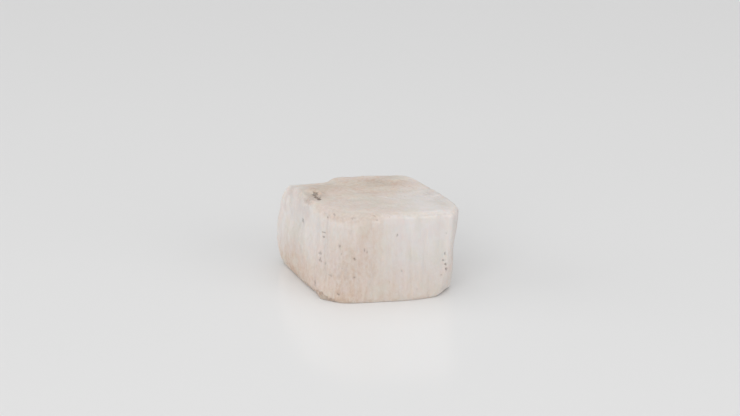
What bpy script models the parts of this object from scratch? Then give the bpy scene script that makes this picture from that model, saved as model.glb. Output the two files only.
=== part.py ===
"""A hand sample of pink gypsum: one upright cleaved block of fibrous crystal with worn edges.

The block is a leaning parallelogram prism. Its fibres run vertically up the side faces and
end in the rough top. It stands on its flat lower end, with the broad front face towards -Y.
"""

import math

import bmesh
import bpy
import numpy as np
from mathutils import Vector, noise

MM = 0.001

# Overall size of the block, in millimetres.
HEIGHT = 20.08
HALF_HEIGHT = HEIGHT / 2

# Flat faces round the block: azimuth of the outward normal in degrees, distance from the
# middle at half height, lean in degrees (positive faces a little upward), then how far the
# face swells and at what height the swelling is greatest. Lengths are in millimetres.
FRONT = (270.0, 11.08, 3.6, 0.1, 1.5)
SHOULDER = (219.0, 13.1, 4.5, 0.6, 1.5)
LEFT = (198.3, 13.75, 0.0, 1.1, 7.2)
BACK = (89.0, 13.95, 1.0, 0.3, 8.0)
RIGHT_FRONT = (10.0, 16.65, 0.0, 1.25, 20.0)
RIGHT_BACK = (26.0, 14.1, 0.0, 0.95, 20.0)
CORNER = (332.0, 19.15, 0.0, 0.8, 20.0)

# How far the right end of the front is set back at the foot, in millimetres.
FRONT_TWIST = 1.4

# How widely neighbouring faces blend into each other, in millimetres.
SHOULDER_WEAR = 3.4
SHOULDER_SCOOP = 0.75
LEFT_WEAR = 0.9
CORNER_WEAR = 1.4
RIGHT_WEAR = 3.0
BACK_WEAR = 2.6
BACK_LEFT_WEAR = 2.3
TOP_WEAR = 1.3
TOP_LEFT_WEAR = 1.2
TOP_FRONT_WEAR = 2.0
BASE_WEAR = 0.5

# The broken top: its slope towards +X, and the low ledge at its back left corner.
TOP_SLOPE = -0.012
LEDGE_DROP = 0.9
LEDGE_STEP = 0.95

# Chips off the edges: outward direction (x, y, z), distance of the cut from the middle, wear.
CHIPS = (
    ((-0.853, -0.12, 0.5), 17.3, 0.8),
    ((0.58, -0.58, -0.57), 19.95, 1.5),
    ((0.62, 0.56, 0.55), 18.3, 0.4),
    ((0.80, 0.30, 0.52), 18.7, 0.5),
    ((-0.50, -0.60, -0.62), 19.5, 0.8),
    ((-0.66, 0.62, -0.42), 23.75, 0.8),
    ((-0.10, 0.80, -0.60), 16.70, 0.7),
)

# Shallow pits: centre (x, y, z) in the block's own millimetres, radius, stretch along z.
PITS = (
    (-11.6, 2.4, 21.0, 1.5, 1.0),
    (-12.9, 3.9, 22.6, 2.9, 1.0),
    (-12.3, -9.9, 10.6, 1.2, 1.8),
    (-8.0, -11.7, 12.4, 1.15, 1.6),
    (8.0, 15.0, 12.0, 1.6, 1.7),
    (-6.0, 15.0, 6.0, 1.5, 2.0),
    (16.0, 5.6, 13.0, 1.6, 1.8),
)

# Vertical flutes left by the fibres, and broad unevenness.
FLUTE_WIDTH = 2.3
FLUTE_LENGTH = 17.0
FLUTE_DEPTH = 0.19
LUMP_SIZE = 8.0
LUMP_HEIGHT = 0.26
TOP_GRAIN = 2.4
TOP_RELIEF = 0.16

# Anything lower than this belongs to the flat face that the block stands on.
FLAT_BASE = 0.02

# Mesh grid: cells along x, y and z.
CELLS = (42, 31, 15)
# Plan shear of the grid, so that its lines follow the leaning side faces.
SHEAR = -0.31


def smooth_max(first, second, radius):
    """The larger of two distances, rounded off where they are within radius."""
    near = np.maximum(radius - np.abs(first - second), 0.0)
    return np.maximum(first, second) + near * near / (4.0 * radius)


def smooth_step(value):
    """Eases from 0 to 1."""
    value = np.clip(value, 0.0, 1.0)
    return value * value * (3.0 - 2.0 * value)


def face(points, azimuth, distance, lean, swell, widest):
    """Signed distance of points from one flat face of the block."""
    turn = math.radians(azimuth)
    tilt = math.radians(lean)
    normal = np.array(
        (math.cos(turn) * math.cos(tilt), math.sin(turn) * math.cos(tilt), math.sin(tilt))
    )
    middle = np.array((0.0, 0.0, HALF_HEIGHT))
    away = (points[:, 2] - widest) / HALF_HEIGHT
    return (points - middle) @ normal - distance - swell * (1.0 - np.minimum(away * away, 1.0))


def top_height(x, y):
    """Height of the broken top over the plan."""
    height = HEIGHT + TOP_SLOPE * x
    across = (x + 7.5) * -0.7475 + (y - 13.5) * 0.6644
    height = height - LEDGE_DROP * smooth_step((across + 3.5) / 10.0)
    step = smooth_step((-5.9 - x) / 3.2) * smooth_step((y - 8.0) / 4.0)
    return height - LEDGE_STEP * step


def front(points):
    """Signed distance of points from the front, whose right end is set back towards the foot."""
    x, z = points[:, 0], points[:, 2]
    return face(points, *FRONT) + FRONT_TWIST * smooth_step((x - 5.0) / 11.0) * (1.0 - z / HEIGHT)


def shoulder(points):
    """Signed distance of points from the shoulder, scooped a little beside the left face."""
    x, z = points[:, 0], points[:, 2]
    beside = np.clip((-8.0 - x) / 7.0, 0.0, 1.2)
    scoop = smooth_step((z - 1.0) / 5.0) * (1.0 - 0.5 * smooth_step((z - 14.0) / 6.0)) * beside
    return face(points, *SHOULDER) + SHOULDER_SCOOP * scoop


def block(points):
    """Signed distance of points from the worn block, negative inside."""
    x, y, z = points[:, 0], points[:, 1], points[:, 2]
    sides = smooth_max(front(points), shoulder(points), SHOULDER_WEAR)
    sides = smooth_max(sides, face(points, *LEFT), LEFT_WEAR)
    sides = smooth_max(sides, face(points, *CORNER), CORNER_WEAR)
    right = smooth_max(face(points, *RIGHT_FRONT), face(points, *RIGHT_BACK), RIGHT_WEAR)
    sides = smooth_max(sides, right, CORNER_WEAR)
    wear = BACK_WEAR + (BACK_LEFT_WEAR - BACK_WEAR) * smooth_step((-6.0 - x) / 5.0)
    sides = smooth_max(sides, face(points, *BACK), wear)
    wear = TOP_WEAR + (TOP_LEFT_WEAR - TOP_WEAR) * smooth_step((-12.5 - x + 0.3 * y) / 4.0)
    wear = wear + TOP_FRONT_WEAR * smooth_step((3.0 - x) / 8.0) * smooth_step((-1.0 - y) / 5.0)
    shape = smooth_max(sides, z - top_height(x, y), wear)
    shape = smooth_max(shape, -z, BASE_WEAR)
    middle = np.array((0.0, 0.0, HALF_HEIGHT))
    for direction, distance, blend in CHIPS:
        normal = np.array(direction) / np.linalg.norm(direction)
        shape = smooth_max(shape, (points - middle) @ normal - distance, blend)
    for px, py, pz, radius, stretch in PITS:
        gap = (points - np.array((px, py, pz))) / np.array((1.0, 1.0, stretch))
        shape = smooth_max(shape, radius - np.linalg.norm(gap, axis=1), 0.5)
    return shape


def grid_points(count):
    """Grid lines from -1 to 1, closer together near the ends."""
    even = np.linspace(-1.0, 1.0, count + 1)
    return 0.62 * even + 0.38 * np.sin(even * math.pi / 2)


def build_grid():
    """A box mesh split into cells, as vertex directions and quads."""
    lines = [grid_points(count) for count in CELLS]
    index = {}
    corners = []
    quads = []

    def corner(key):
        if key not in index:
            index[key] = len(corners)
            corners.append([lines[axis][key[axis]] for axis in range(3)])
        return index[key]

    for axis in range(3):
        one, two = (axis + 1) % 3, (axis + 2) % 3
        for side in (0, CELLS[axis]):
            for i in range(CELLS[one]):
                for j in range(CELLS[two]):
                    ring = []
                    for di, dj in ((0, 0), (1, 0), (1, 1), (0, 1)):
                        key = [0, 0, 0]
                        key[axis] = side
                        key[one] = i + di
                        key[two] = j + dj
                        ring.append(corner(tuple(key)))
                    quads.append(ring if side else ring[::-1])
    return np.array(corners), quads


def surface(starts):
    """Moves each grid corner along the ray from the middle to the surface of the block."""
    middle = np.array((0.0, 0.0, HALF_HEIGHT))
    rays = starts - middle
    low = np.full(len(rays), 0.3)
    high = np.full(len(rays), 1.5)
    for _ in range(40):
        half = (low + high) / 2
        inside = block(middle + rays * half[:, None]) < 0
        low = np.where(inside, half, low)
        high = np.where(inside, high, half)
    return middle + rays * high[:, None]


def normals_of(points):
    """Outward directions of the worn block's surface at these points."""
    step = 0.05
    slopes = []
    for axis in range(3):
        move = np.zeros(3)
        move[axis] = step
        slopes.append(block(points + move) - block(points - move))
    slopes = np.stack(slopes, axis=1)
    return slopes / np.linalg.norm(slopes, axis=1, keepdims=True)


def relief(point, normal):
    """Height of the fibre flutes, the grain of the top and the broad lumps at one point."""
    x, y, z = point
    upright = 1.0 - abs(normal[2])
    flute = noise.noise(Vector((x / FLUTE_WIDTH, y / FLUTE_WIDTH, z / FLUTE_LENGTH)))
    fine = noise.noise(Vector((x / 1.1 + 9.0, y / 1.1, z / 11.0)))
    lump = noise.noise(Vector((x / LUMP_SIZE, y / LUMP_SIZE, z / LUMP_SIZE + 4.0)))
    grain = noise.noise(Vector((x / (1.6 * TOP_GRAIN), y / TOP_GRAIN, 7.0)))
    height = upright * FLUTE_DEPTH * (flute + 0.4 * fine) * 1.6
    height += max(normal[2], 0.0) * TOP_RELIEF * grain * 1.6
    height += LUMP_HEIGHT * lump
    return height * min(z / 1.5, 1.0)


def build():
    """Makes the crystal, standing on z = 0 with the middle of its box over the origin."""
    for old in list(bpy.data.objects):
        bpy.data.objects.remove(old)

    corners, quads = build_grid()
    starts = corners * np.array((17.2, 12.3, HALF_HEIGHT)) + np.array((-0.9, 1.3, HALF_HEIGHT))
    starts[:, 0] += SHEAR * (starts[:, 1] - 1.3)
    points = surface(starts)
    normals = normals_of(points)
    for i, (point, normal) in enumerate(zip(points.copy(), normals)):
        points[i] = point + normal * relief(point, normal)
    points[:, 2] = np.where(points[:, 2] < FLAT_BASE, 0.0, points[:, 2])

    low, high = points.min(axis=0), points.max(axis=0)
    shift = np.array(((low[0] + high[0]) / 2, (low[1] + high[1]) / 2, low[2]))
    points = (points - shift) * MM

    mesh = bpy.data.meshes.new("crystal")
    shape = bmesh.new()
    made = [shape.verts.new(point) for point in points]
    for quad in quads:
        shape.faces.new([made[i] for i in quad])
    bmesh.ops.recalc_face_normals(shape, faces=shape.faces)
    bmesh.ops.triangulate(shape, faces=shape.faces)
    shape.to_mesh(mesh)
    shape.free()

    stone = bpy.data.materials.new("gypsum")
    stone.use_nodes = True
    look = stone.node_tree.nodes["Principled BSDF"]
    look.inputs["Base Color"].default_value = (0.64, 0.57, 0.51, 1.0)
    look.inputs["Roughness"].default_value = 0.45
    mesh.materials.append(stone)
    crystal = bpy.data.objects.new("crystal", mesh)
    bpy.context.scene.collection.objects.link(crystal)


build()
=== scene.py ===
"""Looks of the pink gypsum crystal: a worn block as a fine mesh, milky fibrous stone, a pale studio."""

import math
import random

import bpy
import numpy as np
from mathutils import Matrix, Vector, noise


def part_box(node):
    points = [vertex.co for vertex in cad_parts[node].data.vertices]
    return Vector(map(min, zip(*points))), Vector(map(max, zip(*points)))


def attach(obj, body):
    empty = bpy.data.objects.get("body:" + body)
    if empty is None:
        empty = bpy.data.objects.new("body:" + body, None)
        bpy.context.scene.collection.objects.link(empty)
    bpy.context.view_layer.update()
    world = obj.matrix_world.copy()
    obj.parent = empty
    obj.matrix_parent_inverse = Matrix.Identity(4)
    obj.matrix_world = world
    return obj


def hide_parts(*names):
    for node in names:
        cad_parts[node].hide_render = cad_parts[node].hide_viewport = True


MM = 0.001

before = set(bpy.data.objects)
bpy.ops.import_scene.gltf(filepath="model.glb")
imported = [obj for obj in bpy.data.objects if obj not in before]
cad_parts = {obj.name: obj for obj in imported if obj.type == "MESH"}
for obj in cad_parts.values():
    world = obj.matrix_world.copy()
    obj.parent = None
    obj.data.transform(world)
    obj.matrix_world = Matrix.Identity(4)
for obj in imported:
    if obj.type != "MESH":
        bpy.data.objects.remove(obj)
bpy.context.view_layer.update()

# ---------------------------------------------------------------- the block
# Lengths are in millimetres. The block is drawn round the middle of its height, then stood on its place.
HEIGHT = 20.08
HALF_HEIGHT = HEIGHT / 2
MIDDLE = np.array((0.0, 0.0, HALF_HEIGHT))

# Flat faces round the block: azimuth of the outward normal and lean in degrees, distance from the middle,
# how far the face swells and at what height it swells most.
FRONT = (270.0, 11.08, 3.6, 0.1, 1.5)
SHOULDER = (219.0, 13.1, 4.5, 0.6, 1.5)
LEFT = (198.3, 13.75, 0.0, 1.1, 7.2)
BACK = (89.0, 13.95, 1.0, 0.3, 8.0)
RIGHT_FRONT = (10.0, 16.65, 0.0, 1.25, 20.0)
RIGHT_BACK = (26.0, 14.1, 0.0, 0.95, 20.0)
CORNER = (332.0, 19.15, 0.0, 0.8, 20.0)

# How far the right end of the front is set back at the foot, and between which x that sets in.
FRONT_TWIST = 1.4
FRONT_TWIST_SPAN = (5.0, 16.0)

# How deep the shoulder is scooped beside the left face, from which x and over what width.
SHOULDER_SCOOP = 1.2
SCOOP_START = -8.0
SCOOP_WIDTH = 7.0

# The hollow along the upper half of the left face: its depth, the height of its middle, its half height.
LEFT_HOLLOW = 0.55
LEFT_HOLLOW_MIDDLE = 13.6
LEFT_HOLLOW_HALF = 2.8

# How widely neighbouring faces blend into each other. LEFT_FOOT_WEAR and TOP_FRONT_WEAR are added in places.
SHOULDER_WEAR = 3.4
LEFT_WEAR = 0.6
LEFT_FOOT_WEAR = 2.0
CORNER_WEAR = 1.4
RIGHT_WEAR = 3.0
BACK_WEAR = 2.6
BACK_LEFT_WEAR = 2.3
TOP_WEAR = 1.3
TOP_LEFT_WEAR = 1.2
TOP_FRONT_WEAR = 2.0
BASE_WEAR = 0.2

# The broken top slopes along x and sinks towards the back left corner of the plan: how far, from which corner
# and which way, and where along that way it begins and how long it takes.
TOP_SLOPE = -0.012
TOP_SINK = 0.9
SINK_CORNER = (-7.5, 13.5)
SINK_WAY = (-0.7475, 0.6644)
SINK_START = -3.5
SINK_WIDTH = 10.0

# The low ledge in that corner: its step, where it begins in x and y, and over what width.
LEDGE_STEP = 0.95
LEDGE_START = (-5.9, 8.0)
LEDGE_WIDTH = (3.2, 4.0)

# Chips off the edges: outward direction, distance of the cut from the middle, wear.
CHIPS = (
    ((-0.853, -0.12, 0.5), 17.3, 0.8),
    ((0.76, -0.52, -0.38), 19.97, 1.6),
    ((0.62, 0.56, 0.55), 18.3, 0.4),
    ((0.80, 0.30, 0.52), 18.7, 0.5),
    ((-0.50, -0.60, -0.62), 19.9, 0.6),
    ((-0.796, -0.263, -0.545), 17.32, 1.0),
    ((-0.66, 0.62, -0.42), 23.75, 0.8),
    ((-0.10, 0.80, -0.60), 16.70, 0.7),
)

# Hollows: x, y and z of the centre, radius, stretch along z. Then how widely they blend into the faces.
HOLLOWS = (
    (-11.6, 2.4, 21.0, 1.5, 1.0),
    (-12.9, 3.9, 22.6, 2.9, 1.0),
    (-12.3, -9.9, 10.6, 1.2, 1.8),
    (-8.0, -11.7, 12.4, 1.15, 1.6),
    (8.0, 15.0, 12.0, 1.6, 1.7),
    (-6.0, 15.0, 6.0, 1.5, 2.0),
    (16.0, 5.6, 13.0, 1.6, 1.8),
)
HOLLOW_WEAR = 0.5

# Fine mesh: cells along x, y and z, half lengths and middle of the grid, and how far its plan leans.
CELLS = (200, 140, 88)
GRID_HALF = np.array((17.2, 12.3, HALF_HEIGHT))
GRID_MIDDLE = np.array((-0.9, 1.3, HALF_HEIGHT))
SHEAR = -0.31
# How far the lines of the grid crowd towards its edges.
CROWDING = 0.2

# Inside the flat base, this many cells away from its edge, cells are joined into large ones.
BASE_RIM = 10
BASE_CELL = 12
# Points lower than this belong to the flat base.
FLAT_BASE = 0.02
# How often the span that holds the surface is halved to find it.
HALVINGS = 24


def smooth_step(value, low=0.0, high=1.0):
    """0 at the low value and 1 at the high one, with a smooth rise between them."""
    value = np.clip((value - low) / (high - low), 0.0, 1.0)
    return value * value * (3.0 - 2.0 * value)


def smooth_max(first, second, radius):
    """The larger of two distances, with the step between them blended over this radius."""
    overlap = np.maximum(radius - np.abs(first - second), 0.0)
    return np.maximum(first, second) + overlap * overlap / (4.0 * radius)


def bell(value, middle, half):
    """1 where the value is the middle one, falling off on both sides of it."""
    return np.exp(-(((value - middle) / half) ** 2))


def face(points, azimuth, distance, lean, swell, widest):
    """Distance of points outside one flat face of the block."""
    turn, tilt = math.radians(azimuth), math.radians(lean)
    normal = (math.cos(turn) * math.cos(tilt), math.sin(turn) * math.cos(tilt), math.sin(tilt))
    away = (points[:, 2] - widest) / HALF_HEIGHT
    return (points - MIDDLE) @ np.array(normal) - distance - swell * (1.0 - np.minimum(away * away, 1.0))


def top_height(x, y):
    """Height of the broken top over the plan."""
    across = (x - SINK_CORNER[0]) * SINK_WAY[0] + (y - SINK_CORNER[1]) * SINK_WAY[1]
    height = HEIGHT + TOP_SLOPE * x - TOP_SINK * smooth_step((across - SINK_START) / SINK_WIDTH)
    ledge = smooth_step((LEDGE_START[0] - x) / LEDGE_WIDTH[0])
    return height - LEDGE_STEP * ledge * smooth_step((y - LEDGE_START[1]) / LEDGE_WIDTH[1])


def front_face(points):
    """Distance of points outside the front, whose right end is set back towards the foot."""
    x, _, z = points.T
    return face(points, *FRONT) + FRONT_TWIST * smooth_step(x, *FRONT_TWIST_SPAN) * (1.0 - z / HEIGHT)


def shoulder(points):
    """Distance of points outside the shoulder, which is scooped a little beside the left face."""
    x, _, z = points.T
    scoop = smooth_step(z, 1.0, 6.0) * (1.0 - 0.5 * smooth_step(z, 14.0, 20.0))
    scoop = scoop * np.clip((SCOOP_START - x) / SCOOP_WIDTH, 0.0, 1.2)
    return face(points, *SHOULDER) + SHOULDER_SCOOP * scoop


def left_face(points):
    """Distance of points outside the left face, which is hollowed a little along its upper half."""
    return face(points, *LEFT) + LEFT_HOLLOW * bell(points[:, 2], LEFT_HOLLOW_MIDDLE, LEFT_HOLLOW_HALF)


def block(points):
    """Distance of points outside the worn block, negative inside."""
    x, y, z = points.T
    sides = smooth_max(front_face(points), shoulder(points), SHOULDER_WEAR)
    # The edge beside the left face is worn wider towards the foot.
    wear = LEFT_WEAR + LEFT_FOOT_WEAR * (1.0 - smooth_step(z, 6.0, 14.0))
    sides = smooth_max(sides, left_face(points), wear)
    sides = smooth_max(sides, face(points, *CORNER), CORNER_WEAR)
    right = smooth_max(face(points, *RIGHT_FRONT), face(points, *RIGHT_BACK), RIGHT_WEAR)
    sides = smooth_max(sides, right, CORNER_WEAR)
    # The edges of the back and of the top are a little sharper at their left ends.
    wear = BACK_WEAR + (BACK_LEFT_WEAR - BACK_WEAR) * smooth_step((-6.0 - x) / 5.0)
    sides = smooth_max(sides, face(points, *BACK), wear)
    wear = TOP_WEAR + (TOP_LEFT_WEAR - TOP_WEAR) * smooth_step((-12.5 - x + 0.3 * y) / 4.0)
    # The top is worn wide above the left half of the front.
    wear = wear + TOP_FRONT_WEAR * smooth_step((3.0 - x) / 8.0) * smooth_step((-1.0 - y) / 5.0)
    shape = smooth_max(sides, z - top_height(x, y), wear)
    shape = smooth_max(shape, -z, BASE_WEAR)
    for direction, distance, blend in CHIPS:
        normal = np.array(direction) / np.linalg.norm(direction)
        shape = smooth_max(shape, (points - MIDDLE) @ normal - distance, blend)
    for px, py, pz, radius, stretch in HOLLOWS:
        gap = (points - np.array((px, py, pz))) / np.array((1.0, 1.0, stretch))
        shape = smooth_max(shape, radius - np.linalg.norm(gap, axis=1), HOLLOW_WEAR)
    return shape


def base_cells(corner):
    """The large cells inside the base, each with every corner of the fine cells beside it."""
    ends = (CELLS[0] - BASE_RIM, CELLS[1] - BASE_RIM)
    wide = []
    for i in range(BASE_RIM, ends[0], BASE_CELL):
        for j in range(BASE_RIM, ends[1], BASE_CELL):
            far_i, far_j = i + BASE_CELL, j + BASE_CELL
            ring = [(i, n) for n in range(j, far_j, 1 if i == BASE_RIM else BASE_CELL)]
            ring += [(n, far_j) for n in range(i, far_i, 1 if far_j == ends[1] else BASE_CELL)]
            ring += [(far_i, n) for n in range(far_j, j, -1 if far_i == ends[0] else -BASE_CELL)]
            ring += [(n, j) for n in range(far_i, i, -1 if j == BASE_RIM else -BASE_CELL)]
            wide.append([corner((a, b, 0)) for a, b in ring])
    return wide


def box_grid():
    """A box mesh: its corners from -1 to 1, its cells facing out, and the large cells of the base."""
    lines = [np.linspace(-1.0, 1.0, count + 1) for count in CELLS]
    lines = [(1.0 - CROWDING) * line + CROWDING * np.sin(line * math.pi / 2) for line in lines]
    index, corners, quads = {}, [], []

    def corner(key):
        if key not in index:
            index[key] = len(corners)
            corners.append([lines[axis][key[axis]] for axis in range(3)])
        return index[key]

    def inside_base(axis, side, i, j):
        within = BASE_RIM <= i < CELLS[0] - BASE_RIM and BASE_RIM <= j < CELLS[1] - BASE_RIM
        return axis == 2 and side == 0 and within

    for axis in range(3):
        one, two = (axis + 1) % 3, (axis + 2) % 3
        for side in (0, CELLS[axis]):
            for i in range(CELLS[one]):
                for j in range(CELLS[two]):
                    if inside_base(axis, side, i, j):
                        continue
                    ring = []
                    for di, dj in ((0, 0), (1, 0), (1, 1), (0, 1)):
                        key = [0, 0, 0]
                        key[axis], key[one], key[two] = side, i + di, j + dj
                        ring.append(corner(tuple(key)))
                    quads.append(ring if side else ring[::-1])
    wide = base_cells(corner)
    return np.array(corners), np.array(quads), wide


def way_out(start, rays, shortest, longest):
    """How far along each ray from the start the surface of the block is, in lengths of the ray."""
    low, high = np.full(len(rays), shortest), np.full(len(rays), longest)
    for _ in range(HALVINGS):
        half = (low + high) / 2
        inside = block(start + rays * half[:, None]) < 0
        low, high = np.where(inside, half, low), np.where(inside, high, half)
    return high


def surface(corners):
    """Draws the plan of the grid in to that of the block, then moves each corner out or in to the surface."""
    offsets = corners * GRID_HALF
    offsets[:, 0] += SHEAR * offsets[:, 1]
    level = offsets * (1.0, 1.0, 0.0)
    share = np.abs(corners[:, :2]).max(axis=1)
    edge = level / np.maximum(share, 1e-6)[:, None]
    offsets[:, :2] *= way_out(GRID_MIDDLE, edge, shortest=0.5, longest=1.5)[:, None]
    rays = offsets + GRID_MIDDLE - MIDDLE
    return MIDDLE + rays * way_out(MIDDLE, rays, shortest=0.3, longest=1.5)[:, None]


def normals_of(points, quads):
    """Outward unit normal at each point."""
    flat = np.cross(points[quads[:, 2]] - points[quads[:, 0]], points[quads[:, 3]] - points[quads[:, 1]])
    total = np.zeros_like(points)
    for k in range(4):
        np.add.at(total, quads[:, k], flat)
    total[np.abs(total).sum(axis=1) == 0.0] = (0.0, 0.0, -1.0)
    return total / np.linalg.norm(total, axis=1, keepdims=True)


corners, quads, wide = box_grid()
points = surface(corners)
normals = normals_of(points, quads)
spots = [Vector(point) for point in points]


def ripples(size, seed=(0.0, 0.0, 0.0)):
    """Smooth noise at every point of the block, for a grain of this size in x, y and z."""
    seed = Vector(seed)
    shrink = Vector([1.0 / length for length in size])
    return np.array([noise.noise(spot * shrink + seed) for spot in spots])


# ---------------------------------------------------------------- relief
# How deep each kind of relief is.
FLUTES = 0.12
UPRIGHT_FLUTES = 0.18
LUMPS = 0.26
TOP_LUMPS = 0.12
THICK_FIBRES = 0.055
THIN_FIBRES = 0.03
LONG_SPLINTERS = 0.085
SHORT_SPLINTERS = 0.05
POCKS = 0.07
FIBRE_ENDS = 0.03
TERRACES = 0.04
CRUMBLED = 0.10
CRUMBS = 0.04
GRIT = 0.025
CREASE_DEPTH = 0.05

# How wide the crease beside the left face is, and the ridge next to it.
CREASE_HALF = 0.16
RIDGE_HALF = 0.45

# Which way each point looks: to a side, up, over the rim or the worn edge of the top, to the front.
up = normals[:, 2]
side = 1.0 - smooth_step(np.abs(up), 0.45, 0.85)
top = smooth_step(up, 0.5, 0.9)
rim = smooth_step(up, 0.12, 0.4) * (1.0 - smooth_step(up, 0.8, 0.97))
edge = smooth_step(up, 0.15, 0.6) * (1.0 - smooth_step(up, 0.93, 0.998))
upright = 1.0 - smooth_step(up, 0.05, 0.5)
frontal = smooth_step(-normals[:, 1], 0.3, 0.6)
leftward = smooth_step(4.0 - points[:, 0], 0.0, 5.0)

# Flutes along the fibres, and broad lumps.
flutes = ripples((2.3, 2.3, 17.0)) + 0.4 * ripples((1.1, 1.1, 11.0), (9.0, 0.0, 0.0))
height = (1.0 - np.abs(up)) * (FLUTES + UPRIGHT_FLUTES * upright) * flutes
height *= 1.0 - 0.55 * smooth_step(points[:, 2], 16.5, 19.0) * frontal
height += LUMPS * ripples((8.0, 8.0, 8.0), (0.0, 0.0, 4.0))
height += np.maximum(up, 0.0) * TOP_LUMPS * ripples((3.84, 2.4, 1e6), (0.0, 0.0, 7.0))

# Fibres on the sides, and thin splinters gone from between them.
fibres = THICK_FIBRES * ripples((0.9, 0.9, 13.0), (3.0, 0.0, 0.0))
fibres += THIN_FIBRES * ripples((0.42, 0.42, 6.0), (17.0, 0.0, 0.0))
splinters = LONG_SPLINTERS * smooth_step(ripples((1.5, 1.5, 6.0), (29.0, 0.0, 0.0)), 0.12, 0.30)
splinters += SHORT_SPLINTERS * smooth_step(ripples((0.7, 0.7, 2.6), (31.0, 5.0, 0.0)), 0.22, 0.42)
height += side * (fibres - splinters)

# Small pocks, most of them on the left half.
pocks = smooth_step(ripples((0.8, 0.8, 1.2), (37.0, 0.0, 0.0)), 0.16, 0.42)
height -= POCKS * pocks * side * (0.3 + 0.7 * leftward)

# Broken fibre ends on the top, in low terraces.
ends = FIBRE_ENDS * (ripples((2.0, 1.2, 2.0), (41.0, 0.0, 0.0)) + ripples((0.8, 0.55, 0.8), (53.0, 0.0, 0.0)))
terraces = TERRACES * smooth_step(ripples((3.6, 2.6, 4.0), (47.0, 0.0, 0.0)), 0.02, 0.12)
height += top * (ends - terraces)

# Crumbling edges, and grit all over.
crumbling = rim * (1.0 - 0.75 * leftward * smooth_step(-points[:, 1], 0.0, 5.0))
height -= crumbling * CRUMBLED * smooth_step(ripples((1.3, 1.0, 0.9), (71.0, 0.0, 0.0)), 0.10, 0.42)
height += crumbling * CRUMBS * ripples((0.6, 0.6, 0.6), (79.0, 0.0, 0.0))
height += GRIT * ripples((0.4, 0.4, 0.5), (61.0, 0.0, 0.0))

# The crease between the left face and the shoulder, read from how far a point is outside each face.
left_gap = face(points, *LEFT) - smooth_max(front_face(points), shoulder(points), SHOULDER_WEAR)
beside = side * smooth_step(-points[:, 1], -6.0, -2.0)
on_left = smooth_step(left_gap - 0.7 * (1.0 - smooth_step(points[:, 2], 9.0, 14.0)), 0.0, 0.3)
on_left = on_left * side * smooth_step(points[:, 1], 14.0, 12.0)
crease = bell(left_gap, 0.0, CREASE_HALF) * beside * smooth_step(points[:, 2], 7.0, 13.0)
shaded = smooth_step(left_gap, 0.05, 0.4) * (1.0 - smooth_step(left_gap, 1.0, 2.4)) * side
ridge = bell(left_gap, -RIDGE_HALF, RIDGE_HALF) * beside
height -= CREASE_DEPTH * crease * (1.0 + 2.0 * ripples((1.0, 1.0, 2.4), (83.0, 0.0, 0.0)))

# Stand the block on its place, which is that of the plain solid.
solid_low, solid_high = (np.array(corner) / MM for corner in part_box("crystal"))
raw_low, raw_high = points.min(axis=0), points.max(axis=0)
shift = (solid_low + solid_high - raw_low - raw_high) / 2
shift[2] = 0.0
grounded = points[:, 2] < FLAT_BASE
points = points + shift

# Dirty specks on the front and the shoulder: x, z, half width, half height, darkness from 0 to 1.
FRONT_SPECKS = (
    (-9.5, 18.4, 0.26, 0.28, 0.85), (-8.0, 19.3, 0.55, 0.25, 0.60),
    (-10.3, 14.6, 0.26, 0.30, 0.72), (-10.3, 13.6, 0.26, 0.30, 0.72), (-7.2, 12.7, 0.26, 0.42, 0.64),
    (-6.9, 11.1, 0.24, 0.40, 0.62), (-1.85, 12.3, 0.26, 0.50, 0.70), (-1.2, 11.4, 0.22, 0.34, 0.82),
    (-4.0, 10.2, 0.34, 0.55, 0.70), (-11.0, 9.6, 0.50, 0.40, 0.66), (-11.0, 8.3, 0.26, 0.90, 0.66),
    (-10.2, 7.9, 0.24, 0.80, 0.50), (-6.8, 7.8, 0.34, 0.34, 0.62), (-4.2, 6.2, 0.32, 0.40, 0.72),
    (-9.2, 5.8, 0.50, 0.24, 0.58), (-12.2, 2.7, 0.22, 1.10, 0.70),
    (-10.8, 1.4, 0.28, 0.28, 0.45), (-7.7, 1.8, 0.28, 0.26, 0.78), (-0.3, 17.4, 0.22, 0.45, 0.40),
    (-4.1, 19.1, 0.70, 0.35, 0.45), (0.3, 19.6, 0.36, 0.30, 0.55), (0.9, 18.9, 0.40, 0.26, 0.58),
    (3.7, 19.4, 0.24, 0.26, 0.60), (5.4, 15.1, 0.25, 0.28, 0.78), (16.2, 14.9, 0.22, 0.34, 0.58),
    (15.9, 10.4, 0.22, 0.55, 0.78), (15.4, 8.7, 0.26, 0.30, 0.76), (16.0, 7.7, 0.32, 0.32, 0.92),
    (16.2, 6.6, 0.28, 0.36, 1.00), (6.4, 7.0, 0.24, 0.24, 0.60), (15.0, 5.3, 0.34, 0.28, 0.55),
    (3.6, 4.4, 0.24, 0.50, 0.52), (9.5, 2.4, 0.30, 0.28, 0.52), (5.0, 1.9, 0.50, 0.24, 0.52),
    (15.6, 1.3, 0.45, 0.25, 0.30),
)
# Specks elsewhere: x, y, z, half size, darkness.
OTHER_SPECKS = (
    (-14.15, -0.5, 14.85, 0.48, 1.00), (-14.0, -1.9, 8.2, 0.30, 0.50),
    (-15.1, -1.0, 7.8, 0.35, 0.60), (-15.3, 0.6, 12.0, 0.25, 0.40), (-2.0, 4.0, 20.0, 0.28, 0.50),
    (4.6, -1.0, 20.0, 0.22, 0.40),
)
# How many more specks the hidden sides have, and the seed of their places.
EXTRA_SPECKS = 60
SPECK_SEED = 7
# How deep a dark speck is, how ragged its edge, and the y round which those of the front and shoulder lie.
SPECK_DEPTH = 0.22
RAGGED = 0.35
FRONT_Y = -12.0
ANY_Y = 1e3

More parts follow.
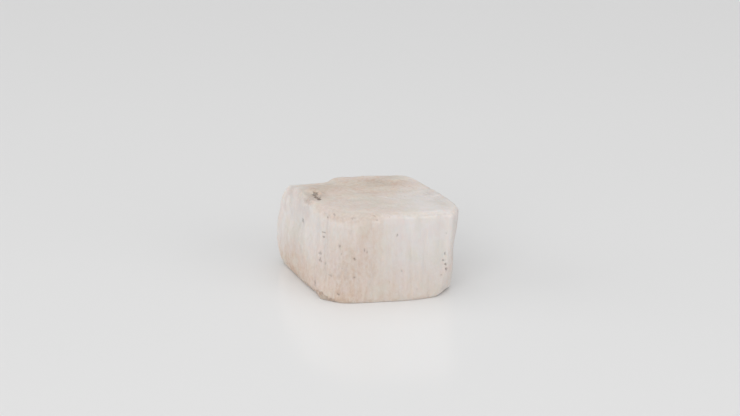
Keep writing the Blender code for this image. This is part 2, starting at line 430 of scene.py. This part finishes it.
# The dirty pit near the top left edge: a crooked groove through these points, then its half width and depth.
GROOVE = ((-11.25, 2.9), (-11.05, 1.6), (-10.85, 0.5), (-10.7, -0.7), (-10.65, -1.3))
GROOVE_HALF = 0.70
GROOVE_DEPTH = 0.28

# The undercut along the foot of the shoulder, stained brown and painted darker as its shade: height at the
# corner, depth, middle and reach.
UNDERCUT_HEIGHT = 1.45
UNDERCUT_DEPTH = 0.22
UNDERCUT_PLACE = ((-11.2, -9.6, 0.0), (3.6, 4.2, 50.0))

# The corner of the shoulder spreads at the foot: how far, which way over the plan, its middle and reach.
TOE = 0.95
TOE_WAY = np.array((-0.68, -0.73))
TOE_PLACE = ((-11.4, -9.8, 0.0), (2.0, 2.2, 50.0))

# The chalky, crumbling zone at the right end of the front: its middle and reach, and how rough it is.
CHALK = ((15.7, -9.0, 8.5), (1.0, 4.0, 2.6))
CHALK_DEPTH = 0.12

# Small shifts that make the edges of specks ragged.
wander = np.stack([ripples((0.55, 0.55, 0.7), (13.0 * turn, 7.0, 0.0)) for turn in (1, 2, 3)], axis=1)


def near(centre, reach, ragged=0.0):
    """1 at a place and falling off around it, for this reach in x, y and z."""
    gap = (points + ragged * wander - np.array(centre)) / np.array(reach)
    return np.exp(-(gap * gap).sum(axis=1))


def near_line(route, half):
    """1 along a route over the plan and falling off beside it."""
    nearest = np.full(len(points), 1e9)
    for start, end in zip(route, route[1:]):
        start, end = np.array(start), np.array(end)
        along = end - start
        share = np.clip((points[:, :2] - start) @ along / (along @ along), 0.0, 1.0)
        gap = points[:, :2] - start - share[:, None] * along
        nearest = np.minimum(nearest, np.linalg.norm(gap, axis=1))
    return bell(nearest, 0.0, half)


specks = np.zeros(len(points))
in_front = smooth_step(-normals[:, 1], 0.1, 0.35)
for x, z, half_width, half_height, darkness in FRONT_SPECKS:
    found = near((x, FRONT_Y, z), (half_width, ANY_Y, half_height), RAGGED) * in_front
    specks = np.maximum(specks, darkness * found)
for x, y, z, half, darkness in OTHER_SPECKS:
    specks = np.maximum(specks, darkness * near((x, y, z), (half, half, 1.3 * half), RAGGED))
randomly = random.Random(SPECK_SEED)
hidden = (normals[:, 1] > -0.35) & (normals[:, 0] > -0.8) & (up < 0.6) & (points[:, 2] > 1.0)
hidden = np.flatnonzero(hidden).tolist()
for _ in range(EXTRA_SPECKS):
    half = randomly.uniform(0.16, 0.36)
    found = near(points[randomly.choice(hidden)], (half, half, half * randomly.uniform(1.0, 2.2)), RAGGED)
    specks = np.maximum(specks, randomly.uniform(0.3, 0.9) * found)
height -= SPECK_DEPTH * specks

crumble = ripples((0.5, 0.5, 0.5), (91.0, 0.0, 0.0))
chalky = near(*CHALK)
height += CHALK_DEPTH * chalky * crumble

# The pit is filled with dirt, thickest at its front end, and loose grains of it lie along its edge.
groove = near_line(GROOVE, GROOVE_HALF) * smooth_step(points[:, 2], 16.0, 18.0)
height -= GROOVE_DEPTH * groove * (1.0 + 0.8 * crumble)
pit = smooth_step(groove, 0.02, 0.2) * smooth_step(groove + 0.65 * crumble, 0.2, 0.8)
dirt = 0.75 + 0.30 * smooth_step(-points[:, 1], -1.6, 1.0)
dirt += 0.45 * ripples((0.36, 0.36, 0.4), (17.0, 0.0, 0.0))
specks = np.maximum(specks, pit * np.clip(dirt, 0.2, 1.0))

# The undercut is highest at the corner of the shoulder and runs out to both sides under a crumbling edge.
foot_line = near(*UNDERCUT_PLACE) * (np.abs(up) < 0.9)
eaves = UNDERCUT_HEIGHT * foot_line * (1.0 + 0.9 * crumble)
undercut = 1.0 - smooth_step(points[:, 2] - eaves, -0.25, 0.05)
undercut *= smooth_step(foot_line, 0.1, 0.4)
toe = near(*TOE_PLACE) * (1.0 - smooth_step(points[:, 2], 0.5, 6.5))
toe *= smooth_step(-np.abs(up), -1.0, -0.9)

# The flat base stays flat, and the relief fades out just above it.
height[grounded] = 0.0
height *= smooth_step(points[:, 2], 0.0, 0.8)
points = points + normals * height[:, None]
points[:, :2] += (TOE * toe - UNDERCUT_DEPTH * undercut)[:, None] * TOE_WAY
points[:, 2] = np.maximum(points[:, 2], 0.0)

# ---------------------------------------------------------------- where it is stained, pale and dirty, and where light and shade are painted
# Patches of more or less iron stain, one of them painted light, then of grime and painted shade: centre,
# reach in x, y and z, how much they add.
FRONT_STAINS_AND_PAINTED_LIGHT = (
    ((-5.0, -12.0, 11.0), (3.6, 6.0, 4.0), 0.12),
    ((-4.4, -12.0, 10.0), (1.2, 6.0, 5.0), 0.12),
    ((-6.5, -12.0, 6.0), (4.0, 6.0, 4.0), 0.03),
    ((-7.0, -11.5, 18.6), (3.0, 3.0, 1.6), -0.14),
    # Paler at the right end of the foot: painted light where that corner lies in shade.
    ((16.8, -9.0, 2.0), (3.0, 4.0, 4.0), -0.22),
)
LEFT_STAINS = (
    ((-15.9, 3.0, 0.8), (1.8, 4.5, 2.4), 0.28),
    ((-13.0, -4.4, 5.0), (1.4, 2.0, 2.6), -0.14),
)
TOP_STAINS = (
    ((3.5, 7.5, 20.0), (4.5, 3.0, 2.0), 0.16),
    ((9.0, 5.5, 20.0), (3.6, 3.6, 2.0), 0.30),
    ((-10.8, 2.4, 20.0), (2.6, 3.4, 2.0), 0.22),
    ((11.6, 1.8, 20.0), (2.0, 2.2, 2.0), 0.14),
    ((0.0, 1.0, 20.0), (9.0, 4.0, 2.0), 0.05),
    ((-13.0, 7.5, 20.0), (3.5, 3.2, 2.0), -0.22),
)
GRIME_AND_SHADE_PATCHES = (
    ((3.4, 7.6, 20.0), (2.4, 1.3, 1.2), 0.34),
    # Painted shade in the hollows beside the pit.
    ((-12.9, -1.0, 20.0), (0.9, 1.9, 1.6), 0.44),
    ((-14.3, 2.6, 19.6), (1.7, 2.6, 1.6), 0.12),
    ((-11.9, 0.6, 19.8), (0.9, 1.6, 1.2), 0.26),
    ((13.8, 0.2, 20.0), (1.2, 2.0, 1.2), 0.22),
    ((16.0, -4.0, 20.0), (1.8, 5.0, 1.5), 0.18),
    ((-16.0, 8.8, 18.2), (1.3, 2.8, 1.5), 0.34),
    ((-9.9, 0.2, 20.0), (0.9, 1.4, 1.2), 0.20),
    ((6.2, 10.6, 20.0), (2.2, 1.6, 1.6), 0.15),
    ((-11.8, -1.7, 20.1), (0.9, 0.9, 1.0), 0.26),
    ((-14.8, 3.2, 19.6), (1.0, 3.0, 1.4), 0.17),
    ((-9.2, 1.5, 20.0), (1.0, 2.2, 1.2), 0.12),
    ((15.8, -10.0, 7.6), (1.2, 3.0, 2.2), 0.10),
    ((-10.9, 4.2, 20.0), (1.2, 0.9, 1.4), 0.30),
    ((-9.6, 1.6, 20.0), (0.7, 1.2, 1.4), 0.25),
    ((-13.4, -4.0, 0.4), (0.9, 2.3, 0.5), 0.70),
)
# A line of clean gypsum along the worn front edge of the top, over the plan, and its half width.
WHITE_LINE = ((2.4, -0.8), (4.0, -1.6), (6.6, -3.3))
WHITE_LINE_HALF = 0.25


def patches(table):
    """What all the patches of a table add, at every point."""
    return sum(strength * near(centre, reach) for centre, reach, strength in table)


x, y, z = points.T
left_half = 1.0 - smooth_step(x, -1.0, 7.0)

# Iron stain, from 0, clean, to 1. On the sides: the left half, a band up the front and the foot all round.
band = 0.32 * bell(x, -1.0, 2.7) * (1.0 - 0.45 * bell(z, 0.0, 9.0))
foot = 0.47 - 0.36 * bell(x, -0.6, 2.8) + 0.10 * smooth_step(-x, 9.0, 13.0)
stain = 0.27 * left_half + band + foot * bell(z, 0.0, 8.5)
stain += (0.16 + 0.04 * left_half) * bell(z, 0.0, 0.9) + 0.6 * undercut + patches(FRONT_STAINS_AND_PAINTED_LIGHT)
stain -= 0.18 * smooth_step(-x, 9.5, 12.0) * smooth_step(z, 4.0, 11.0)
stain -= 0.24 * smooth_step(z, 17.0, 18.8) * smooth_step(x, 1.0, 4.0)
left_stain = 0.08 + 0.66 * (1.0 - smooth_step(z + 5.0 * smooth_step(y, 4.5, 10.5), 4.0, 13.5))
left_stain += patches(LEFT_STAINS)
stain = stain + (left_stain - stain) * on_left

# The broken top: brown all over, deepest at the back, fading to the right and over the left edge.
top_stain = 0.46 - 0.40 * smooth_step(x, 1.0, 13.0) + 0.14 * smooth_step(y, -4.0, 5.0)
top_stain += 0.12 * bell(y, 6.0, 2.6) + patches(TOP_STAINS)
top_stain *= 0.3 + 0.7 * smooth_step(x, -15.5, -11.5)
stain = stain + (top_stain - stain) * np.maximum(top, rim * smooth_step(-x, -4.0, 2.0))

# Clean white gypsum: the right of the front, chalk, and the worn edges of the top. Painted highlights: the
# ridge beside the crease and a spot on the rim at the left end of the front.
pale = 0.25 * smooth_step(x, 6.0, 12.0) * smooth_step(z, 4.0, 15.0)
# A painted highlight along the ridge beside the crease, and white chalk.
pale += 0.30 * ridge * smooth_step(z, 7.0, 13.0) + 0.5 * chalky * smooth_step(crumble, 0.0, 0.3)
back_rim = rim * smooth_step(normals[:, 1], 0.0, 0.3) * smooth_step(x, 4.0, 7.0)
pale += 0.7 * back_rim * smooth_step(crumble, -0.05, 0.25)
pale += 0.6 * near_line(WHITE_LINE, WHITE_LINE_HALF) * top
# A painted highlight on the rim at the left end of the front.
pale += 0.4 * near((-13.9, -0.6, 19.7), (0.7, 0.8, 0.6))

# Grey mixed into the colour. Painted shade: in the crease and on the band of the left face beside it, in the
# undercut, in hollows by the pit; grime and darker tone in the other patches.
grime_and_painted_shade = 0.15 * crease + 0.11 * shaded * smooth_step(z, 3.0, 7.0) + patches(GRIME_AND_SHADE_PATCHES) + 0.42 * undercut
# A darker band across the back of the top.
grime_and_painted_shade += 0.09 * top * bell(y, 5.5, 2.6) * (1.0 - smooth_step(x, 9.0, 14.0))
# Darker along the foot, and painted shade on the worn front edge of the top.
grime_and_painted_shade += 0.05 * bell(z, 0.0, 0.7) + edge * (0.19 + 0.06 * left_half) * smooth_step(-y, -2.0, 3.0)
# Painted shade on the faces turned to the right.
grime_and_painted_shade += 0.13 * smooth_step(normals[:, 0], 0.35, 0.85) * side * smooth_step(z, 3.0, 9.0)
# Painted shade across the middle height of the front, deepest left of its middle.
painted_front_shade = 0.08 + 0.08 * bell(x, -6.8, 3.2) - 0.04 * smooth_step(-x, 10.0, 12.5)
grime_and_painted_shade += painted_front_shade * bell(z, 8.0, 6.0) * side * smooth_step(-y, 4.0, 8.0)

# A frost of pale and dull grains on the left half of the front.
frosted = smooth_step(-x, 2.0, 5.0) * smooth_step(z, 2.0, 5.0) * frontal * (1.0 - top)
frosted *= 0.25 + 0.75 * smooth_step(ripples((2.2, 2.2, 3.2), (61.0, 0.0, 0.0)), -0.15, 0.3)
grain = ripples((0.5, 0.5, 1.1), (55.0, 0.0, 0.0))
pale += 0.26 * frosted * smooth_step(grain, 0.05, 0.4)
grime_and_painted_shade += 0.09 * frosted * smooth_step(-grain, 0.05, 0.4)


def piece(name):
    """The fine mesh as an object, with its masks stored on it."""
    data = bpy.data.meshes.new(name)
    data.from_pydata((points * MM).tolist(), [], quads.tolist() + wide)
    data.polygons.foreach_set("use_smooth", [True] * len(data.polygons))
    # The grey mask holds grime and painted shade, the pale one clean white and painted highlights.
    masks = {"stain": stain, "pale": pale, "grime_and_painted_shade": grime_and_painted_shade, "specks": specks, "top": top, "worn": rim}
    for label, values in masks.items():
        layer = data.attributes.new(label, "FLOAT", "POINT")
        layer.data.foreach_set("value", np.asarray(values, dtype=np.float32))
    made = bpy.data.objects.new(name, data)
    bpy.context.scene.collection.objects.link(made)
    return made


crystal = piece("gypsum_crystal")
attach(crystal, "root")
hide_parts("crystal")


# ---------------------------------------------------------------- materials
def linear(*rgb):
    """Scene colour for a screen colour given as 0 to 255."""
    parts = [value / 255 for value in rgb]
    return tuple(p / 12.92 if p <= 0.04045 else ((p + 0.055) / 1.055) ** 2.4 for p in parts) + (1.0,)


class Tree:
    """Short ways to add nodes to one material."""

    def __init__(self, name):
        self.material = bpy.data.materials.new(name)
        self.material.use_nodes = True
        self.nodes = self.material.node_tree.nodes
        self.links = self.material.node_tree.links
        self.surface = self.nodes["Principled BSDF"]

    def put(self, socket, value):
        """Links the value to the socket, or sets it there if it is a constant."""
        if isinstance(value, bpy.types.NodeSocket):
            self.links.new(value, socket)
        else:
            socket.default_value = value

    def math(self, kind, *values):
        node = self.nodes.new("ShaderNodeMath")
        node.operation = kind
        for socket, value in zip(node.inputs, values):
            self.put(socket, value)
        return node.outputs[0]

    def swayed(self, value, cloud, amount):
        """The value, raised and lowered by a noise cloud."""
        sway = self.math("MULTIPLY", self.math("SUBTRACT", cloud, 0.5), amount)
        return self.math("ADD", value, sway)

    def scaled(self, vector, scale):
        node = self.nodes.new("ShaderNodeVectorMath")
        node.operation = "MULTIPLY"
        self.put(node.inputs[0], vector)
        node.inputs[1].default_value = scale
        return node.outputs[0]

    def cloud(self, vector, size, detail=3.0, rough=0.55):
        """A noise cloud from 0 to 1, for a grain of this size."""
        node = self.nodes.new("ShaderNodeTexNoise")
        self.put(node.inputs["Vector"], vector)
        node.inputs["Scale"].default_value = 1.0 / size
        node.inputs["Detail"].default_value = detail
        node.inputs["Roughness"].default_value = rough
        return node.outputs["Fac"]

    def span(self, value, low, high, start=0.0, end=1.0):
        """The value, drawn smoothly from the range between low and high to that between start and end."""
        node = self.nodes.new("ShaderNodeMapRange")
        node.interpolation_type = "SMOOTHSTEP"
        for socket, number in zip(node.inputs, (value, low, high, start, end)):
            self.put(socket, number)
        return node.outputs[0]

    def mask(self, label):
        """One of the masks stored on the mesh."""
        node = self.nodes.new("ShaderNodeAttribute")
        node.attribute_name = label
        return node.outputs["Fac"]

    def mix(self, amount, first, second):
        """A colour between two colours."""
        node = self.nodes.new("ShaderNodeMix")
        node.data_type = "RGBA"
        self.put(node.inputs[0], amount)
        self.put(node.inputs[6], first)
        self.put(node.inputs[7], second)
        return node.outputs[2]

    def blend(self, amount, first, second):
        """A number between two numbers."""
        node = self.nodes.new("ShaderNodeMix")
        self.put(node.inputs[0], amount)
        self.put(node.inputs[2], first)
        self.put(node.inputs[3], second)
        return node.outputs[0]

    def ramp(self, value, stops):
        """The colour at this value on a scale of colours."""
        node = self.nodes.new("ShaderNodeValToRGB")
        self.put(node.inputs[0], value)
        marks = node.color_ramp.elements
        for _ in range(len(stops) - len(marks)):
            marks.new(0.5)
        for mark, (place, colour) in zip(marks, stops):
            mark.position = place
            mark.color = colour
        return node.outputs[0]


# Colours of the stone: clean, and with more and more iron stain, then those of tints, of grime and painted
# shade, and of soil.
CLEAN = linear(219, 214, 211)
# White of clean gypsum, also used for painted highlights.
WHITE = linear(226, 222, 220)
STAINS = (
    (0.0, CLEAN),
    (0.25, linear(216, 208, 202)),
    (0.5, linear(213, 201, 192)),
    (0.75, linear(208, 191, 178)),
    (1.0, linear(199, 176, 158)),
)
GREENISH = linear(208, 204, 192)
ROSY = linear(216, 200, 196)
GRIME_AND_PAINTED_SHADE = linear(150, 134, 124)
SOIL = linear(98, 80, 70)
PAPER = linear(230, 230, 230)

# The milky stone: how much it bends light, how much light scatters in it, and how far, in metres,
# with the shares of that for red, green and blue.
GYPSUM_IOR = 1.52
MILKINESS = 0.55
SCATTER_DEPTH = 0.0025
SCATTER = (1.0, 0.75, 0.6)

# The finest fibres and crumbs: how strongly they show and how deep they are, in metres.
HAIR_STRENGTH = 0.30
HAIR_DEPTH = 0.00012


def gypsum():
    """Milky fibrous gypsum with iron stain, pale zones and painted highlights, dirt and painted shade, and
    soil.
    """
    tree = Tree("gypsum")
    place = tree.nodes.new("ShaderNodeTexCoord").outputs["Object"]
    place = tree.scaled(place, (1.0 / MM, 1.0 / MM, 1.0 / MM))
    # Stretched up the fibres for the sides, and along x for the top.
    upright = tree.scaled(place, (1.0, 1.0, 0.09))
    lying = tree.scaled(place, (0.55, 1.0, 1.0))
    on_top = tree.mask("top")

    thread = tree.blend(on_top, tree.cloud(upright, 0.8, 3.0, 0.6), tree.cloud(lying, 0.8, 4.0, 0.65))
    bands = tree.blend(on_top, tree.cloud(upright, 2.2, 3.0), tree.cloud(lying, 2.6, 3.0))
    mottle = tree.cloud(place, 2.3, 4.0, 0.62)
    flecks = tree.cloud(place, 0.5, 3.0, 0.6)

    # Iron stain, broken up by threads, bands, mottling and blotches, and calmer on the top.
    calm = tree.span(on_top, 0.0, 1.0, 1.0, 0.6)
    stain = tree.swayed(tree.mask("stain"), thread, tree.math("MULTIPLY", calm, 0.42))
    stain = tree.swayed(stain, bands, tree.math("MULTIPLY", calm, 0.42))
    stain = tree.swayed(stain, mottle, 0.40)
    blotches = tree.cloud(tree.scaled(place, (1.0, 1.0, 0.7)), 0.75, 4.0, 0.75)
    stain = tree.swayed(stain, blotches, tree.math("MULTIPLY_ADD", tree.mask("stain"), 1.6, 0.10))
    colour = tree.ramp(stain, STAINS)
    tint = tree.math("MULTIPLY_ADD", on_top, 0.09, tree.cloud(place, 4.2, 2.0))
    colour = tree.mix(tree.span(tint, 0.52, 0.68, 0.0, 0.35), colour, GREENISH)
    colour = tree.mix(tree.span(tint, 0.48, 0.32, 0.0, 0.30), colour, ROSY)
    # White for clean gypsum and for painted highlights.
    pale = tree.math("MULTIPLY", tree.mask("pale"), tree.span(thread, 0.3, 0.7, 0.55, 1.0))
    colour = tree.mix(pale, colour, WHITE)

    # Grime and painted shade, then soil in the specks and the pit.
    grime_and_painted_shade = tree.math("MULTIPLY", tree.mask("grime_and_painted_shade"), tree.span(flecks, 0.35, 0.65, 0.5, 1.0))
    colour = tree.mix(grime_and_painted_shade, colour, GRIME_AND_PAINTED_SHADE)
    soil = tree.swayed(tree.mask("specks"), flecks, 0.5)
    colour = tree.mix(tree.span(soil, 0.22, 1.02, 0.0, 0.85), colour, SOIL)
    tree.put(tree.surface.inputs["Base Color"], colour)

    # A satin skin, duller where it is worn, with light scattered just under it.
    rough = tree.span(thread, 0.3, 0.7, 0.36, 0.56)
    tree.put(tree.surface.inputs["Roughness"], tree.math("MULTIPLY_ADD", tree.mask("worn"), 0.25, rough))
    tree.surface.inputs["IOR"].default_value = GYPSUM_IOR
    tree.surface.inputs["Subsurface Weight"].default_value = MILKINESS
    tree.surface.inputs["Subsurface Radius"].default_value = SCATTER
    tree.surface.inputs["Subsurface Scale"].default_value = SCATTER_DEPTH

    # Hair-fine fibres on the sides and crumbs on the top, too small for the mesh.
    hairs = tree.cloud(tree.scaled(place, (1.0, 1.0, 0.05)), 0.24, 3.0, 0.6)
    crumbs = tree.cloud(place, 0.35, 4.0, 0.6)
    bump = tree.nodes.new("ShaderNodeBump")
    bump.inputs["Strength"].default_value = HAIR_STRENGTH
    bump.inputs["Distance"].default_value = HAIR_DEPTH
    tree.put(bump.inputs["Height"], tree.blend(on_top, hairs, crumbs))
    tree.put(tree.surface.inputs["Normal"], bump.outputs["Normal"])
    return tree.material


def paper():
    """Smooth white paper that mirrors the block faintly."""
    tree = Tree("floor")
    tree.surface.inputs["Base Color"].default_value = PAPER
    tree.surface.inputs["Roughness"].default_value = 0.16
    tree.surface.inputs["Specular IOR Level"].default_value = 0.5
    return tree.material


crystal.data.materials.append(gypsum())

# ---------------------------------------------------------------- floor, light and camera
# From here on, lengths are in metres.
FLOOR_SIZE = 6.0

bpy.ops.mesh.primitive_plane_add(size=FLOOR_SIZE, location=(0.0, 0.0, 0.0))
floor = bpy.context.active_object
floor.name = "floor"
floor.data.materials.append(paper())

# A white studio all round, dimmer low down behind the crystal.
SKY = 0.71
SKY_BEHIND = 0.37


def studio():
    """The studio as a world whose brightness depends on the direction only."""
    world = bpy.data.worlds.new("studio")
    world.use_nodes = True
    nodes, links = world.node_tree.nodes, world.node_tree.links

    def eased(value, low, high, start, end):
        node = nodes.new("ShaderNodeMapRange")
        node.interpolation_type = "SMOOTHSTEP"
        links.new(value, node.inputs[0])
        for socket, number in zip(node.inputs[1:], (low, high, start, end)):
            socket.default_value = number
        return node.outputs[0]

    way = nodes.new("ShaderNodeSeparateXYZ")
    links.new(nodes.new("ShaderNodeTexCoord").outputs["Generated"], way.inputs[0])
    behind = eased(way.outputs[1], -0.2, 0.8, 0.0, 1.0)
    low_down = eased(way.outputs[2], 0.4, 0.9, 1.0, 0.0)
    dim = nodes.new("ShaderNodeMath")
    dim.operation = "MULTIPLY"
    links.new(behind, dim.inputs[0])
    links.new(low_down, dim.inputs[1])
    backdrop = nodes["Background"]
    backdrop.inputs["Color"].default_value = (1.0, 1.0, 1.0, 1.0)
    links.new(eased(dim.outputs[0], 0.0, 1.0, SKY, SKY_BEHIND), backdrop.inputs["Strength"])
    return world


bpy.context.scene.world = studio()


def softbox(name, spot, aim, size, watts):
    """A rectangular soft light at a spot, turned to its aim."""
    lamp = bpy.data.lights.new(name, "AREA")
    lamp.shape = "RECTANGLE"
    lamp.size, lamp.size_y = size
    lamp.energy = watts
    made = bpy.data.objects.new(name, lamp)
    made.location = spot
    made.rotation_euler = (Vector(aim) - Vector(spot)).to_track_quat("-Z", "Y").to_euler()
    bpy.context.scene.collection.objects.link(made)


# Name, spot, aim, width and height, watts.
SOFTBOXES = (
    ("key", (-0.64, -1.36, 0.90), (0.0, 0.0, 0.01), (1.4, 1.2), 9.6),
    ("left", (-1.55, 0.10, 0.55), (0.0, 0.0, 0.01), (1.1, 1.0), 4.2),
    ("fill", (1.20, -0.96, 0.64), (0.0, 0.0, 0.01), (1.1, 1.0), 4.4),
    ("overhead", (0.0, 0.4, 1.5), (0.0, 0.0, 0.0), (1.4, 1.2), 3.2),
)
for lamp in SOFTBOXES:
    softbox(*lamp)

# A long lens from a little above, aimed at the upper part of the block.
FOCAL_LENGTH = 100.0
SENSOR_WIDTH = 36.0
CAMERA_SPOT = (-0.04685, -0.41790, 0.18680)
CAMERA_AIM = (0.0006, -0.0015, 0.0175)

lens = bpy.data.cameras.new("camera")
lens.lens = FOCAL_LENGTH
lens.sensor_width = SENSOR_WIDTH
camera = bpy.data.objects.new("camera", lens)
camera.location = CAMERA_SPOT
camera.rotation_euler = (Vector(CAMERA_AIM) - camera.location).to_track_quat("-Z", "Y").to_euler()
bpy.context.scene.collection.objects.link(camera)
bpy.context.scene.camera = camera
bpy.context.scene.view_settings.view_transform = "Standard"
